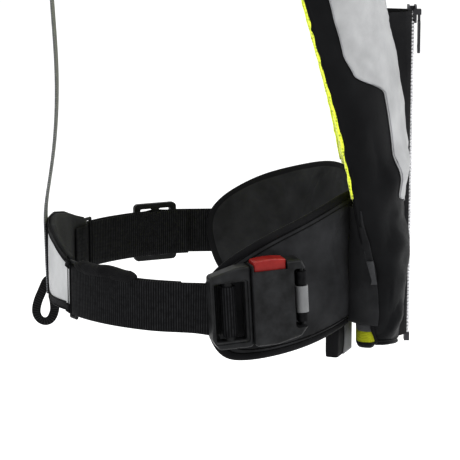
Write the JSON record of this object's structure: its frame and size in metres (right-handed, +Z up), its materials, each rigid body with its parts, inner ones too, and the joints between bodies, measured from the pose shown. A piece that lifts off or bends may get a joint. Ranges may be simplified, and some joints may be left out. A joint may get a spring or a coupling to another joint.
{
  "type": "inflatable life jacket",
  "caption": "Inflatable life jacket in its worn shape: horseshoe pad with front zip, padded waist loop, push-button side buckle, and inflation gear inside.",
  "frame": {"origin": "middle of the waist loop at the height of the waist webbing, inside the wearer's torso", "axes": "+Z up the wearer, -Y the way the wearer faces, +X towards the wearer's left"},
  "size_m": [0.3182, 0.3242, 0.4819],
  "materials": {
    "cover_cloth": "woven",
    "light_cloth": "reflective",
    "yellow_mesh": "mesh",
    "wing_cloth": "soft",
    "webbing": "ribbed",
    "grey_webbing": "ribbed",
    "zip_tape": "woven",
    "zip_tooth": "satin",
    "zip_metal": "satin",
    "buckle_plastic": "satin",
    "red_plastic": "gloss",
    "steel": "satin",
    "bladder_film": "coated",
    "grey_plastic": "satin",
    "yellow_plastic": "satin",
    "lens": "gloss",
    "tube_rubber": "satin"
  },
  "bodies": {
    "jacket": {"adjuster_left": "buckle_plastic", "anchor_webbing": "webbing", "back_pad": "wing_cloth", "back_panel": "light_cloth", "back_strap": "grey_webbing", "back_tab_left": "webbing", "back_tab_right": "webbing", "belt_keeper_left": "webbing", "belt_keeper_right": "webbing", "bladder": "bladder_film", "buckle_back_shell": "buckle_plastic", "buckle_front_shell": "buckle_plastic", "buckle_rivets": "steel", "button_springs": "steel", "co2_cylinder": "steel", "cover_collar": "cover_cloth", "cover_left": "cover_cloth", "cover_right": "cover_cloth", "crotch_loop_back": "webbing", "crotch_sleeve_front": "webbing", "end_gusset_left": "cover_cloth", "end_gusset_right": "cover_cloth", "front_belt": "webbing", "inflator_body": "grey_plastic", "latch_leaf": "steel", "light_battery": "grey_plastic", "light_lens": "lens", "lining_collar": "yellow_mesh", "lining_left": "yellow_mesh", "lining_right": "yellow_mesh", "oral_tube": "tube_rubber", "oral_valve": "grey_plastic", "panel_left": "light_cloth", "panel_right": "light_cloth", "reflective_sleeve": "light_cloth", "ring_left": "buckle_plastic", "ring_right": "buckle_plastic", "sensor_cap": "yellow_plastic", "side_webbing_left": "webbing", "side_webbing_right": "webbing", "whistle": "yellow_plastic", "wing_left": "wing_cloth", "wing_right": "wing_cloth", "zip_bottom_box": "zip_metal", "zip_tape_left": "zip_tape", "zip_tape_right": "zip_tape", "zip_teeth_left": "zip_tooth", "zip_teeth_right": "zip_tooth"},
    "zip_slider": {"zip_slider": "zip_metal"},
    "zip_pull": {"zip_pull": "zip_metal"},
    "release_button": {"release_button": "red_plastic"},
    "buckle_male_half": {"buckle_male_half": "buckle_plastic"},
    "manual_pull_handle": {"manual_pull_handle": "yellow_plastic"},
    "inflator_lever": {"inflator_lever": "grey_plastic"},
    "piercing_pin": {"piercing_pin": "steel"},
    "oral_tube_cap": {"oral_tube_cap": "tube_rubber"}
  },
  "joints": [
    {"name": "zip_slide", "type": "slide", "parent": "jacket", "child": "zip_slider", "axis": [0, 0, -1], "range_m": [0, 0.26]},
    {"name": "zip_pull_swing", "type": "hinge", "parent": "zip_slider", "child": "zip_pull", "pos_m": [0, -0.1695, 0.212], "axis": [-1, 0, 0], "range_deg": [0, 170]},
    {"name": "button_press", "type": "slide", "parent": "jacket", "child": "release_button", "axis": [0.0146, -0.0503, -0.9986], "range_m": [0, 0.0035], "stiffness_N_per_m": 800, "springref_m": -0.002, "deforming": ["button_springs", "latch_leaf"]},
    {"name": "buckle_release", "type": "slide", "parent": "jacket", "child": "buckle_male_half", "axis": [-0.2784, 0.959, -0.0523], "range_m": [0, 0.03], "deforming": ["side_webbing_right", "latch_leaf"]},
    {"name": "manual_pull", "type": "slide", "parent": "jacket", "child": "manual_pull_handle", "axis": [-0.0827, -0.1053, -0.991], "range_m": [0, 0.025]},
    {"name": "lever_turn", "type": "hinge", "parent": "jacket", "child": "inflator_lever", "pos_m": [0.06966, -0.14029, 0.00211], "axis": [0.175, -0.9805, 0.0896], "range_deg": [-0.5, 62]},
    {"name": "pin_travel", "type": "slide", "parent": "jacket", "child": "piercing_pin", "axis": [0.0827, 0.1053, 0.991], "range_m": [-0.00005, 0.0028]},
    {"name": "oral_cap_pull", "type": "slide", "parent": "jacket", "child": "oral_tube_cap", "axis": [-0.0794, 0.104, 0.9914], "range_m": [0, 0.014]}
  ],
  "couplings": [
    {"joint": "lever_turn", "follows": "manual_pull", "rad_per_m": 41.88},
    {"joint": "pin_travel", "follows": "manual_pull", "ratio": 0.11}
  ]
}
